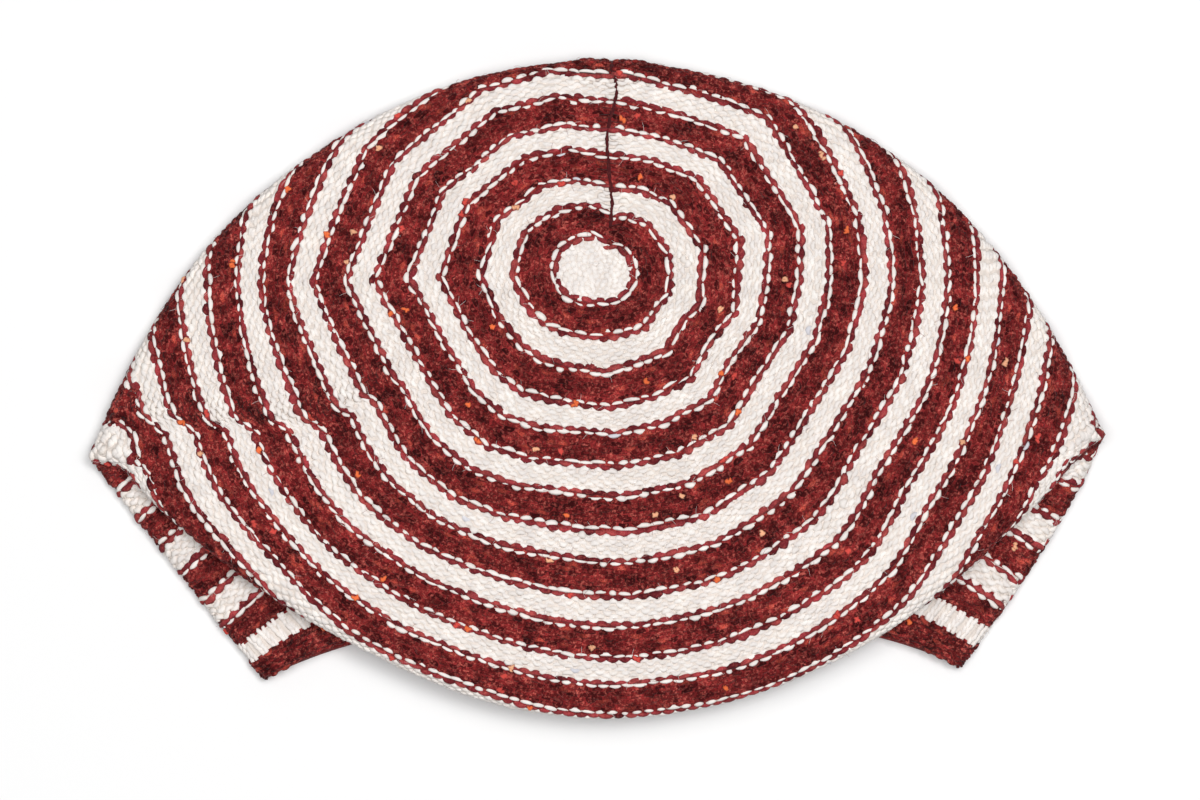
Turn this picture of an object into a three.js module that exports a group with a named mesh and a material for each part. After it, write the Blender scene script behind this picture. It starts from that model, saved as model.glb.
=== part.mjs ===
// A knitted slouch beret lying flat on a table: one folded wall of thick wool knit.
// The crown fans out from its centre, turns under at the lower rim, tucks back up inside the
// fold and comes down again to the band, while behind it the cloth folds over the top edge and
// lies flat on the table. The band is a flattened tube whose open mouth faces -Y.
// Millimetres, +Z up, +X to the right and +Y away from the mouth; the table is Z = 0.
import * as THREE from "three";

// Cloth
const WALL = 3; // thickness of the knit
const LEAST_STEP = 0.15; // shortest step along a face inside a bend, against the wall's middle
const EASE_TURNS = 80; // rounds of easing such a bend, and how much one round moves a point
const EASE_SMOOTH = 0.35; // towards its neighbours
const EASE_PRESS = 0.06; // towards the wall's middle
const BAND_HEIGHT = 20; // last two stripes, knitted as the band
const SEAT_GAP = 0.6; // between the crown's last row and the band's first
const HEM_ROUND = 1; // how far the hem's edge bulges
const SEAM_DEPTH = 1; // groove of the back seam
const SEAM_HALF_WIDTH = 0.07; // of the groove, in sections

// Plan of the folded beret
const CROWN_CENTRE = new THREE.Vector2(0, 38.7);
const TOP_ARC = new THREE.Vector2(1, -65.5); // middle of the fold along the back of the crown
const RIM_ARC = new THREE.Vector2(0, 61.7); // middle of the fold along the front of the slouch
const CORNER = { left: new THREE.Vector2(-168.4, -22.5), right: new THREE.Vector2(168.2, -15) };
const HEM_END = { left: new THREE.Vector2(-110.9, -96), right: new THREE.Vector2(121, -92.1) };
const EAR_BOW = { left: 1, right: 4 }; // how far each side fold bows out
const HEM_RISE = 23; // of the hem's middle above its two ends
const HEM_CURVE = 3; // power of its curve, which is steepest at the ends
const HEM_START = 3.3; // of its first section above an end
const TUCK_FLARE = 1.03; // of the hidden fold's length over the rim's
const EAR_FOLD = 6; // from a side fold to the sections beside it
const FOLD_START = { left: [12, -1], right: [6, -3] }; // where the rim has left each corner
const HEM_DROP = 5; // how far the hem shows below itself at the back
const EDGE_INSET = 9; // from the crown's edge to the station inside it
const FOLD_BEND = 5; // length of cloth that turns round a hidden fold

// Heights of the middle of the wall above the table
const TABLE_LAYER = WALL / 2;
const MOUTH_GAP = 9.5; // open height of the mouth at its middle
const EAR_GAP = 2; // and beside the side folds
const TUCK_STEP = 4.2; // from the band up to the layer tucked over it
const CENTRE_HEIGHT = 24;
// The fold at the front rim and the fold along the top: beside the corners and at the middle
const RIM_INSIDE = { side: 21, middle: 26.5 };
const RIM_TOP = { side: 19.5, middle: 23.5 };
const RIM_LOW = { side: 14, middle: 15 };
const TOP_INSIDE = { side: 16, middle: 13.5 };
const TOP_EDGE = { side: 11.5, middle: 11 };

// Sections across the front: angle round the rim's arc in degrees, reach from its middle, and
// how far up the cloth is tucked behind the rim
const FRONT_SECTIONS = [
  { angle: -58, reach: 178, tuck: 5 },
  { angle: -52, reach: 174.3, tuck: 22 },
  { angle: -39, reach: 169.3, tuck: 47 },
  { angle: -26, reach: 166.6, tuck: 65 },
  { angle: -13, reach: 169.8, tuck: 77 },
  { angle: 0, reach: 171.5, tuck: 81 },
  { angle: 13, reach: 171.5, tuck: 78 },
  { angle: 26, reach: 171.3, tuck: 68 },
  { angle: 39, reach: 172.1, tuck: 50 },
  { angle: 52, reach: 174, tuck: 24 },
  { angle: 58, reach: 177, tuck: 5 },
];
// Sections across the back: angle round the top fold's arc, and reach from its middle
const BACK_SECTIONS = [
  { angle: 28, reach: 171.8 },
  { angle: 44, reach: 173.3 },
  { angle: 60, reach: 174.2 },
  { angle: 76, reach: 174 },
  { angle: 91.5, reach: 175.4 },
  { angle: 107, reach: 174.3 },
  { angle: 123, reach: 172.3 },
  { angle: 139, reach: 173.2 },
  { angle: 155, reach: 171.8 },
];
const SIDE_SPANS = [11, 12, 13, 24, 25, 26]; // spans between sections that turn round a side fold
const FRONT_REACH = 66; // rim angle that would land on a corner
const FLAT_MOUTH = 36; // rim angle up to which the mouth keeps its full gap
const SEAM_SECTION = 18.8; // where the back seam runs, counted in sections

// Rise of the crown's top from the centre to its edge: share of the way out, and its height
// in the middle of the front and in the middle of the back
const CROWN_RISE = [
  { share: 0.25, front: 26.5, back: 22.5 },
  { share: 0.52, front: 29.5, back: 20 },
  { share: 0.78, front: 28.5, back: 16 },
];
// Where the tucked fold runs out beside a corner it hangs loose: share of its depth, and height
const LOOSE_FOLD = [
  { share: 0, height: 15.5 },
  { share: 0.25, height: 13.6 },
  { share: 0.5, height: 12.4 },
  { share: 0.75, height: 11.4 },
  { share: 1, height: 10.2 },
  { share: 0.9, height: 8.6 },
  { share: 0.3, height: 7.8 },
];
const CORNER_FRONT = 0.45; // how much of the front's rise is left at the corners

const radians = THREE.MathUtils.degToRad;
const lerp = THREE.MathUtils.lerp;
const at = (plan, z) => new THREE.Vector3(plan.x, plan.y, z);
const between = (a, b, share) => a.clone().lerp(b, share);

// A plan point some millimetres from one point towards another
function towards(from, to, distance) {
  const step = to.clone().sub(from);
  return from.clone().addScaledVector(step, distance / step.length());
}

// A smooth curve runs inside its control points: this puts points on an arc back out
const spread = (stepDegrees) => 3 / (2 + Math.cos(radians(stepDegrees)));

// Control point on the fold's middle, which lies half a wall inside the outline
const foldReach = (reach, stepDegrees) => (reach - WALL / 2 + 0.4) * spread(stepDegrees);

function rimPoint({ angle, reach }) {
  const radius = foldReach(reach, 13);
  return new THREE.Vector2(
    RIM_ARC.x + radius * Math.sin(radians(angle)),
    RIM_ARC.y - radius * Math.cos(radians(angle)),
  );
}

function topPoint({ angle, reach }) {
  const radius = foldReach(reach, 16);
  return new THREE.Vector2(
    TOP_ARC.x + radius * Math.cos(radians(angle)),
    TOP_ARC.y + radius * Math.sin(radians(angle)),
  );
}

// The hem seen from above, from its left end (share 0) to its right end (share 1)
function hemPoint(share) {
  const chord = between(HEM_END.left, HEM_END.right, share);
  chord.y += HEM_RISE * (1 - Math.abs(1 - 2 * share) ** HEM_CURVE);
  return chord;
}

function crownPoints(edge, frontShare) {
  const rise = CROWN_RISE.map(({ share, front, back }) =>
    at(between(CROWN_CENTRE, edge, share), lerp(back, front, frontShare)),
  );
  return [at(CROWN_CENTRE, CENTRE_HEIGHT), ...rise];
}

// A section of the front: crown, rim, layer tucked back up, hidden fold, band, hem
function frontSection(row) {
  const { angle } = row;
  const edge = rimPoint(row);
  const tuck = new THREE.Vector2(edge.x * TUCK_FLARE, edge.y + row.tuck);
  const hem = hemPoint(0.5 + angle / (2 * FRONT_REACH));
  const open = 1 - THREE.MathUtils.smoothstep(Math.abs(angle), FLAT_MOUTH, FRONT_REACH);
  const band = TABLE_LAYER + WALL + lerp(EAR_GAP, MOUTH_GAP, open);
  const under = band + TUCK_STEP;
  const rimLow = lerp(RIM_LOW.side, RIM_LOW.middle, open);
  const depth = edge.distanceTo(tuck);
  const bend = Math.min(FOLD_BEND, 0.4 * depth);
  const flat = [
    at(edge, rimLow),
    at(towards(edge, tuck, Math.max(bend, 0.1 * depth)), lerp(rimLow, under, 0.5)),
    at(towards(edge, tuck, Math.max(1.2 * bend, 0.25 * depth)), under),
    at(towards(tuck, edge, bend), under),
    at(tuck, under),
    at(tuck, band),
    at(towards(tuck, hem, bend), band),
  ];
  const loose = LOOSE_FOLD.map(({ share, height }) => at(between(edge, tuck, share), height));
  const slack = 1 - THREE.MathUtils.smoothstep(row.tuck, 5, 20);
  return [
    ...crownPoints(edge, lerp(CORNER_FRONT, 1, open)),
    at(towards(edge, CROWN_CENTRE, EDGE_INSET), lerp(RIM_INSIDE.side, RIM_INSIDE.middle, open)),
    at(edge, lerp(RIM_TOP.side, RIM_TOP.middle, open)),
    ...flat.map((point, i) => point.lerp(loose[i], slack)),
    at(towards(hem, tuck, BAND_HEIGHT), band),
    at(hem, band),
  ];
}

// A section of the back: crown, top edge, then flat on the table down to the hem
function backSection(row, hemShare) {
  const edge = topPoint(row);
  const hem = hemPoint(hemShare);
  hem.y -= HEM_DROP * Math.sin(Math.PI * hemShare);
  const lift = Math.sin(radians(row.angle));
  const run = [0.06, 0.2, 0.34, 0.48, 0.62, 0.76, 0.88, 1];
  return [
    ...crownPoints(edge, CORNER_FRONT * (1 - lift)),
    at(towards(edge, CROWN_CENTRE, EDGE_INSET), lerp(TOP_INSIDE.side, TOP_INSIDE.middle, lift)),
    at(edge, lerp(TOP_EDGE.side, TOP_EDGE.middle, lift)),
    at(edge, TABLE_LAYER),
    ...run.map((share) => at(between(edge, hem, share), TABLE_LAYER)),
  ];
}

// A section at a side fold: crown, corner, then down along the fold to the end of the hem
function cornerSection(row, aim, bow) {
  const run = [0.035, 0.07, 0.11, 0.15, 0.2, 0.3, 0.74, 1];
  const ear = run.map((share) => {
    const plan = between(row.edge, row.end, share);
    plan.x += bow * 4 * share * (1 - share);
    return at(plan, row.ear);
  });
  return [
    ...crownPoints(aim, CORNER_FRONT),
    at(towards(row.edge, CROWN_CENTRE, EDGE_INSET), row.inside),
    at(row.edge, row.rim),
    at(between(row.edge, row.end, 0.01), row.turn),
    ...ear,
  ];
}

// The four sections that carry the cloth round one side fold, from front to back
function sideFold(side) {
  const inward = side === "left" ? 1 : -1;
  const corner = CORNER[side];
  const end = HEM_END[side];
  const bow = -inward * EAR_BOW[side];
  const beside = (point, x, y) => new THREE.Vector2(point.x + inward * x, point.y + y);
  const inFront = beside(corner, ...FOLD_START[side]);
  const behind = beside(corner, 0.5 * EAR_FOLD, EAR_FOLD);
  const endFront = beside(end, EAR_FOLD, HEM_START);
  const earTop = TABLE_LAYER + WALL + EAR_GAP;
  const rows = [
    { edge: inFront, aim: [9, -6], end: endFront, inside: 18.5, rim: 15, turn: 11, ear: earTop + 0.6 },
    { edge: corner, aim: [2, -1], end, inside: 17.5, rim: 13, turn: 8.5, ear: earTop },
    { edge: corner, aim: [2, 7], end, inside: 16.5, rim: 11, turn: 4, ear: TABLE_LAYER },
    { edge: behind, aim: [5.5, 16], end: endFront, inside: 16, rim: 11, turn: 2.5, ear: TABLE_LAYER },
  ];
  return rows.map((row) => cornerSection(row, beside(corner, ...row.aim), bow));
}

// All sections in order, from the left end of the front, round by the right and the back
const sections = [
  ...FRONT_SECTIONS.map(frontSection),
  ...sideFold("right"),
  ...BACK_SECTIONS.map((row, i) => backSection(row, 1 - (i + 1) / (BACK_SECTIONS.length + 1))),
  ...sideFold("left").reverse(),
];
const STATIONS = sections[0].length;

// Weights of four neighbouring control points in a uniform cubic B-spline
function weights(t) {
  const t2 = t * t;
  const t3 = t2 * t;
  return [
    (1 - 3 * t + 3 * t2 - t3) / 6,
    (4 - 6 * t2 + 3 * t3) / 6,
    (1 + 3 * t + 3 * t2 - 3 * t3) / 6,
    t3 / 6,
  ];
}

// Station k of section i; the sections close on themselves and the ends run on straight
function control(i, k) {
  const row = sections[(i + sections.length) % sections.length];
  if (k < 0) return row[0].clone().multiplyScalar(2).sub(row[1]);
  if (k >= STATIONS) return row[STATIONS - 1].clone().multiplyScalar(2).sub(row[STATIONS - 2]);
  return row[k];
}

// Middle of the wall at section u and station v
function middle(u, v) {
  const i = Math.floor(u);
  const k = Math.min(Math.floor(v), STATIONS - 2);
  const across = weights(u - i);
  const along = weights(v - k);
  const point = new THREE.Vector3();
  across.forEach((wu, a) =>
    along.forEach((wv, b) => point.addScaledVector(control(i + a - 1, k + b - 1), wu * wv)),
  );
  return point;
}

// Direction out of the cloth's right side
function outward(u, v) {
  const h = 0.01;
  const w = Math.min(Math.max(v, 2 * h), STATIONS - 1 - h);
  const down = middle(u, w + h).sub(middle(u, w - h));
  const round = middle(u + h, w).sub(middle(u - h, w));
  return down.cross(round).normalize();
}

// Inside a tight bend the wall's face would cross itself: there it is pressed towards the
// wall's middle, a little at a time, until every step along it runs the way the middle does
function ease(face, core) {
  const count = core[0].length;
  const next = (i) => (i + 1) % count;
  const crossed = (a, b, c, d) =>
    b.clone().sub(a).dot(d.clone().sub(c)) < LEAST_STEP * c.distanceToSquared(d);
  for (let turn = 0; turn < EASE_TURNS; turn++) {
    const tight = new Set();
    const mark = (r, i) => tight.add(r * count + ((i + count) % count));
    face.forEach((row, r) =>
      row.forEach((p, i) => {
        const j = next(i);
        if (crossed(p, row[j], core[r][i], core[r][j]))
          [i - 1, i, j, j + 1].forEach((k) => mark(r, k));
        if (r + 1 < face.length && crossed(p, face[r + 1][i], core[r][i], core[r + 1][i]))
          [r - 1, r, r + 1, r + 2].forEach((k) => mark(k, i));
      }),
    );
    const inside = [...tight].filter((n) => n >= count && n < (face.length - 1) * count);
    if (!inside.length) return;
    const moved = inside.map((n) => {
      const r = Math.floor(n / count);
      const i = n % count;
      const before = (i + count - 1) % count;
      const around = [face[r - 1][i], face[r + 1][i], face[r][next(i)], face[r][before]];
      const mean = around.reduce((sum, p) => sum.add(p), new THREE.Vector3()).divideScalar(4);
      return face[r][i].clone().lerp(mean, EASE_SMOOTH).lerp(core[r][i], EASE_PRESS);
    });
    inside.forEach((n, k) => face[Math.floor(n / count)][n % count].copy(moved[k]));
  }
}

// The station on section u that lies a given length of cloth before the hem
function stationBeforeHem(u, length) {
  const step = 0.02;
  let v = STATIONS - 1;
  let walked = 0;
  let last = middle(u, v);
  while (walked < length) {
    v -= step;
    const next = middle(u, v);
    walked += next.distanceTo(last);
    last = next;
  }
  return v;
}

// Places round the beret where the wall is sampled, with three close together at the seam
function samplePlaces() {
  const places = [];
  sections.forEach((_, i) => {
    const steps = SIDE_SPANS.includes(i) ? 3 : 2;
    for (let n = 0; n < steps; n++) places.push(i + n / steps);
  });
  return places
    .filter((u) => Math.abs(u - SEAM_SECTION) > 0.2)
    .concat([-1, 0, 1].map((side) => SEAM_SECTION + side * SEAM_HALF_WIDTH))
    .sort((a, b) => a - b);
}

// Closed wall from one list of stations; each row holds a station for every place
function wall(places, rows, { closedTop, roundEnd }) {
  const positions = [];
  const triangles = [];
  const add = (p) => positions.push(p.x, p.y, p.z) / 3 - 1;
  const strip = (a, b) =>
    places.forEach((_, i) => {
      const j = (i + 1) % places.length;
      triangles.push(a[i], b[i], b[j], a[i], b[j], a[j]);
    });
  const fan = (tip, a, flip) =>
    places.forEach((_, i) => {
      const j = (i + 1) % places.length;
      triangles.push(...(flip ? [tip, a[j], a[i]] : [tip, a[i], a[j]]));
    });

  const core = rows.map((row) => places.map((u, i) => middle(u, row[i])));
  const face = (side) => {
    const points = rows.map((row, r) =>
      places.map((u, i) => {
        const groove = side > 0 && Math.abs(u - SEAM_SECTION) < 1e-9 ? SEAM_DEPTH : 0;
        return core[r][i].clone().addScaledVector(outward(u, row[i]), (side * WALL) / 2 - groove);
      }),
    );
    ease(points, core);
    return points.map((row) => row.map(add));
  };
  const outer = face(1);
  const inner = face(-1);
  for (let r = 1; r < rows.length; r++) {
    strip(outer[r - 1], outer[r]);
    strip(inner[r], inner[r - 1]);
  }
  const last = rows.length - 1;
  if (roundEnd) {
    const bulge = places.map((u, i) => {
      const end = middle(u, rows[last][i]);
      const run = end.clone().sub(middle(u, rows[last][i] - 0.1)).normalize();
      return add(end.addScaledVector(run, HEM_ROUND));
    });
    strip(outer[last], bulge);
    strip(bulge, inner[last]);
  } else {
    strip(outer[last], inner[last]);
  }
  if (closedTop) {
    const up = new THREE.Vector3(0, 0, WALL / 2);
    const pole = middle(0, 0);
    fan(add(pole.clone().add(up)), outer[0], false);
    fan(add(pole.clone().sub(up)), inner[0], true);
  } else {
    strip(inner[0], outer[0]);
  }
  const geometry = new THREE.BufferGeometry();
  geometry.setAttribute("position", new THREE.Float32BufferAttribute(positions, 3));
  geometry.setIndex(triangles);
  geometry.computeVertexNormals();
  return geometry;
}

// Stations of the crown's rows: coarse on the open cloth, close together round the folds
function crownStations() {
  const steps = [3, 2, 2, 2, 3, 4, 3, 2, 2, 3, 4, 3, 2];
  const stations = steps.flatMap((n, k) => Array.from({ length: n }, (_, i) => k + i / n));
  return stations.filter((v) => v > 0);
}

const places = samplePlaces();
const bandTop = places.map((u) => stationBeforeHem(u, BAND_HEIGHT));
const crownEnd = places.map((u) => stationBeforeHem(u, BAND_HEIGHT + SEAT_GAP));

const crownRows = crownStations()
  .filter((v) => v < Math.min(...crownEnd) - 0.15)
  .map((v) => places.map(() => v))
  .concat([crownEnd]);
const BAND_ROWS = 3;
const bandRows = Array.from({ length: BAND_ROWS + 1 }, (_, r) =>
  bandTop.map((v) => lerp(v, STATIONS - 1, r / BAND_ROWS)),
);

const wool = (color) => new THREE.MeshStandardMaterial({ color, roughness: 0.95, metalness: 0 });

const crown = new THREE.Mesh(
  wall(places, crownRows, { closedTop: true, roundEnd: false }),
  wool(0x7a2226),
);
crown.name = "crown";

const band = new THREE.Mesh(
  wall(places, bandRows, { closedTop: false, roundEnd: true }),
  wool(0xe9e2d8),
);
band.name = "band";

const beret = new THREE.Group();
beret.name = "slouch_beret";
beret.add(crown, band);

export default beret;
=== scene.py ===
"""A striped slouch beret, knitted from burgundy tweed and ivory wool, lying flat."""
import math

import bpy
import numpy as np
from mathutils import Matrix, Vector
from mathutils.bvhtree import BVHTree


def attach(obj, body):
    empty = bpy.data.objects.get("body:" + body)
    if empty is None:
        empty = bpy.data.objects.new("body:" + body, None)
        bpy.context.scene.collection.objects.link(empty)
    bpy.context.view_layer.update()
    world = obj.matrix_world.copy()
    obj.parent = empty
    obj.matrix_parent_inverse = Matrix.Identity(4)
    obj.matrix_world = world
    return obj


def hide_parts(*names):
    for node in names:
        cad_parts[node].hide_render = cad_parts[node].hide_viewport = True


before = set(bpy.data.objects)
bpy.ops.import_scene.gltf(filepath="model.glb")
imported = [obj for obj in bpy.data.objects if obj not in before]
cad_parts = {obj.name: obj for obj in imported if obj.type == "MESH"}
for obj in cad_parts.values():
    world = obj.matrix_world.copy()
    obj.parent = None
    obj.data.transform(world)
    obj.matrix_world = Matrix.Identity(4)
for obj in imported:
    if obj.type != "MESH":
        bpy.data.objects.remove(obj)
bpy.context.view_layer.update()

MM = 0.001
RANDOM = np.random.default_rng(11)

# The folded cloth, in millimetres: the same sizes as the solids
WALL = 3.0
BAND_HEIGHT = 20.0
SEAT_GAP = 0.6
CROWN_CENTRE = np.array([0.0, 38.7])
TOP_ARC = np.array([1.0, -65.5])
RIM_ARC = np.array([0.0, 61.7])
CORNER = {"left": np.array([-168.4, -22.5]), "right": np.array([168.2, -15.0])}
HEM_END = {"left": np.array([-110.9, -96.0]), "right": np.array([121.0, -92.1])}
EAR_BOW = {"left": 1.0, "right": 4.0}
HEM_RISE = 23.0
HEM_CURVE = 3
HEM_START = 3.3
HEM_DROP = 5.0
TUCK_FLARE = 1.03
EAR_FOLD = 6.0
FOLD_START = {"left": (12, -1), "right": (6, -3)}
EDGE_INSET = 9.0
FOLD_BEND = 5.0
TABLE_LAYER = WALL / 2
MOUTH_GAP = 9.5
EAR_GAP = 2.0
TUCK_STEP = 4.2
CENTRE_HEIGHT = 24.0
CORNER_FRONT = 0.45
FRONT_REACH = 66.0
FRONT_STEP = 13  # degrees between sections
BACK_STEP = 16
FLAT_MOUTH = 36.0

# Heights of a fold beside the corners and at its middle
RIM_INSIDE = (21.0, 26.5)
RIM_TOP = (19.5, 23.5)
RIM_LOW = (14.0, 15.0)
TOP_INSIDE = (16.0, 13.5)
TOP_EDGE = (11.5, 11.0)

# Angle round the rim's arc, reach from its middle, and how far up the cloth is tucked
FRONT_SECTIONS = [
    (-58, 178.0, 5), (-52, 174.3, 22), (-39, 169.3, 47), (-26, 166.6, 65),
    (-13, 169.8, 77), (0, 171.5, 81), (13, 171.5, 78), (26, 171.3, 68),
    (39, 172.1, 50), (52, 174.0, 24), (58, 177.0, 5),
]
# Angle round the top fold's arc, and reach from its middle
BACK_SECTIONS = [
    (28, 171.8), (44, 173.3), (60, 174.2), (76, 174.0), (91.5, 175.4),
    (107, 174.3), (123, 172.3), (139, 173.2), (155, 171.8),
]
# Share of the way from the centre to the edge, and the height there in front and behind
CROWN_RISE = [(0.25, 26.5, 22.5), (0.52, 29.5, 20.0), (0.78, 28.5, 16.0)]
# Share of the tuck's depth and height, where the tuck hangs loose beside a corner
LOOSE_FOLD = [
    (0, 15.5), (0.25, 13.6), (0.5, 12.4), (0.75, 11.4), (1, 10.2), (0.9, 8.6), (0.3, 7.8),
]
BACK_RUN = (0.06, 0.2, 0.34, 0.48, 0.62, 0.76, 0.88, 1)
EAR_RUN = (0.035, 0.07, 0.11, 0.15, 0.2, 0.3, 0.74, 1)


def lerp(a, b, share):
    return a + (b - a) * share


def smooth(x, low, high):
    t = np.clip((x - low) / (high - low), 0, 1)
    return t * t * (3 - 2 * t)


def plateau(x, start, full, fade, end):
    """Rises from start to full, holds, and falls again from fade to end."""
    return smooth(x, start, full) * (1 - smooth(x, fade, end))


def swell(x, height, place, width):
    return height * np.exp(-((x - place) / width) ** 2)


def unit(vectors):
    return vectors / np.maximum(np.linalg.norm(vectors, axis=-1, keepdims=True), 1e-9)


def at(plan, z):
    return np.array([plan[0], plan[1], z])


def towards(start, end, distance):
    return start + unit(end - start) * distance


def fold_reach(reach, step):
    """Control points stand a little outside the smooth arc that they make."""
    return (reach - WALL / 2 + 0.4) * 3 / (2 + math.cos(math.radians(step)))


def hem_point(share):
    chord = lerp(HEM_END["left"], HEM_END["right"], share)
    return chord + np.array([0, HEM_RISE * (1 - abs(1 - 2 * share) ** HEM_CURVE)])


def crown_points(edge, front):
    rise = [at(lerp(CROWN_CENTRE, edge, share), lerp(back, ahead, front))
            for share, ahead, back in CROWN_RISE]
    return [at(CROWN_CENTRE, CENTRE_HEIGHT), *rise]


def front_section(angle, reach, tuck_depth):
    turn = math.radians(angle)
    edge = RIM_ARC + fold_reach(reach, FRONT_STEP) * np.array([math.sin(turn), -math.cos(turn)])
    tuck = np.array([edge[0] * TUCK_FLARE, edge[1] + tuck_depth])
    hem = hem_point(0.5 + angle / (2 * FRONT_REACH))
    opened = 1 - smooth(abs(angle), FLAT_MOUTH, FRONT_REACH)
    band = TABLE_LAYER + WALL + lerp(EAR_GAP, MOUTH_GAP, opened)
    under = band + TUCK_STEP
    rim_low = lerp(*RIM_LOW, opened)
    depth = np.linalg.norm(edge - tuck)
    bend = min(FOLD_BEND, 0.4 * depth)
    flat = [
        at(edge, rim_low),
        at(towards(edge, tuck, max(bend, 0.1 * depth)), lerp(rim_low, under, 0.5)),
        at(towards(edge, tuck, max(1.2 * bend, 0.25 * depth)), under),
        at(towards(tuck, edge, bend), under),
        at(tuck, under),
        at(tuck, band),
        at(towards(tuck, hem, bend), band),
    ]
    loose = [at(lerp(edge, tuck, share), height) for share, height in LOOSE_FOLD]
    slack = 1 - smooth(tuck_depth, 5, 20)
    return [
        *crown_points(edge, lerp(CORNER_FRONT, 1, opened)),
        at(towards(edge, CROWN_CENTRE, EDGE_INSET), lerp(*RIM_INSIDE, opened)),
        at(edge, lerp(*RIM_TOP, opened)),
        *[lerp(a, b, slack) for a, b in zip(flat, loose)],
        at(towards(hem, tuck, BAND_HEIGHT), band),
        at(hem, band),
    ]


def back_section(angle, reach, hem_share):
    turn = math.radians(angle)
    edge = TOP_ARC + fold_reach(reach, BACK_STEP) * np.array([math.cos(turn), math.sin(turn)])
    hem = hem_point(hem_share) - np.array([0, HEM_DROP * math.sin(math.pi * hem_share)])
    lift = math.sin(turn)
    return [
        *crown_points(edge, CORNER_FRONT * (1 - lift)),
        at(towards(edge, CROWN_CENTRE, EDGE_INSET), lerp(*TOP_INSIDE, lift)),
        at(edge, lerp(*TOP_EDGE, lift)),
        at(edge, TABLE_LAYER),
        *[at(lerp(edge, hem, share), TABLE_LAYER) for share in BACK_RUN],
    ]


def side_fold(side):
    """The four sections that carry the cloth round one side fold, from front to back."""
    inward = 1 if side == "left" else -1
    corner = CORNER[side]
    end = HEM_END[side]
    end_front = end + np.array([inward * EAR_FOLD, HEM_START])
    in_front = corner + np.array([inward * FOLD_START[side][0], FOLD_START[side][1]])
    behind = corner + np.array([inward * EAR_FOLD / 2, EAR_FOLD])
    ear_top = TABLE_LAYER + WALL + EAR_GAP
    rows = [  # edge, aim of the crown's run, end of the hem, heights inside, at rim, turn and ear
        (in_front, (9, -6), end_front, 18.5, 15, 11, ear_top + 0.6),
        (corner, (2, -1), end, 17.5, 13, 8.5, ear_top),
        (corner, (2, 7), end, 16.5, 11, 4, TABLE_LAYER),
        (behind, (5.5, 16), end_front, 16, 11, 2.5, TABLE_LAYER),
    ]
    sections = []
    for edge, aim, stop, inside, rim, turn, ear in rows:
        run = []
        for share in EAR_RUN:
            place = lerp(edge, stop, share)
            bow = -inward * EAR_BOW[side] * 4 * share * (1 - share)
            run.append(at(place + np.array([bow, 0]), ear))
        sections.append([
            *crown_points(corner + np.array([inward * aim[0], aim[1]]), CORNER_FRONT),
            at(towards(edge, CROWN_CENTRE, EDGE_INSET), inside),
            at(edge, rim),
            at(lerp(edge, stop, 0.01), turn),
            *run,
        ])
    return sections


def control_net():
    """All sections from the left of the front round by the right and the back, run on past both ends."""
    back = [back_section(angle, reach, 1 - (i + 1) / (len(BACK_SECTIONS) + 1))
            for i, (angle, reach) in enumerate(BACK_SECTIONS)]
    sections = [front_section(*row) for row in FRONT_SECTIONS]
    sections += side_fold("right") + back + side_fold("left")[::-1]
    rows = np.array(sections)
    first = 2 * rows[:, :1] - rows[:, 1:2]
    last = 2 * rows[:, -1:] - rows[:, -2:-1]
    return np.concatenate([first, rows, last], axis=1)


NET = control_net()
SECTIONS = NET.shape[0]
STATIONS = NET.shape[1] - 2
POLE = 0.03  # nearer the centre than this station, the normal is read here


def spline_weights(t):
    return np.stack([(1 - t) ** 3, 3 * t**3 - 6 * t**2 + 4, 1 + 3 * t + 3 * t**2 - 3 * t**3, t**3], -1) / 6


def spline_slopes(t):
    return np.stack([-((1 - t) ** 2), 3 * t**2 - 4 * t, 1 + 2 * t - 3 * t**2, t**2], -1) / 2


def cloth(u, v):
    """Middle of the wall at section u and station v, and the unit normal out of its right side."""
    v = np.clip(v, 0, STATIONS - 1)
    i = np.floor(u).astype(int)
    k = np.minimum(np.floor(v).astype(int), STATIONS - 2)
    patch = NET[(i[:, None] + np.arange(-1, 3))[:, :, None] % SECTIONS,
                (k[:, None] + np.arange(4))[:, None, :]]
    s, t = u - i, v - k
    point = np.einsum("na,nb,nabc->nc", spline_weights(s), spline_weights(t), patch)
    t = np.where(v < POLE, POLE, t)
    around = np.einsum("na,nb,nabc->nc", spline_slopes(s), spline_weights(t), patch)
    down = np.einsum("na,nb,nabc->nc", spline_weights(s), spline_slopes(t), patch)
    return point, unit(np.cross(down, around))


# The knit: where every row of stitches lies on the cloth

ROUND_FINE = 48
ALONG_FINE = 40
FINE_U = np.arange(SECTIONS * ROUND_FINE) / ROUND_FINE
FINE_V = np.linspace(0, STATIONS - 1, (STATIONS - 1) * ALONG_FINE + 1)

STITCH_WIDTH = 4.17
ROWS_IN_STRIPE = 4
PAIR_ROWS = 2 * ROWS_IN_STRIPE  # an ivory and a burgundy stripe
FIRST_STRIPE = 12.0  # ivory disc at the centre
WIDE_STRIPES = 3  # stripes round it
WIDE_STRIPE = 11.4
STRIPE = 10.0
STRIPES = 26
RIB_STRIPE = 24
BURGUNDY_SPREAD = 0.27  # how far burgundy stripes reach over the ivory ones beside them
ROWS = STRIPES * ROWS_IN_STRIPE
CLOTH_LENGTH = FIRST_STRIPE + WIDE_STRIPES * WIDE_STRIPE + (STRIPES - 1 - WIDE_STRIPES) * STRIPE
FOLD_RUN = 6.0  # width of the crown's edge where rows follow the bend instead of the plan

STRAIGHT_RINGS = (14, 34, 60, 130)  # between these lengths the sides of a ring are straight
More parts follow.
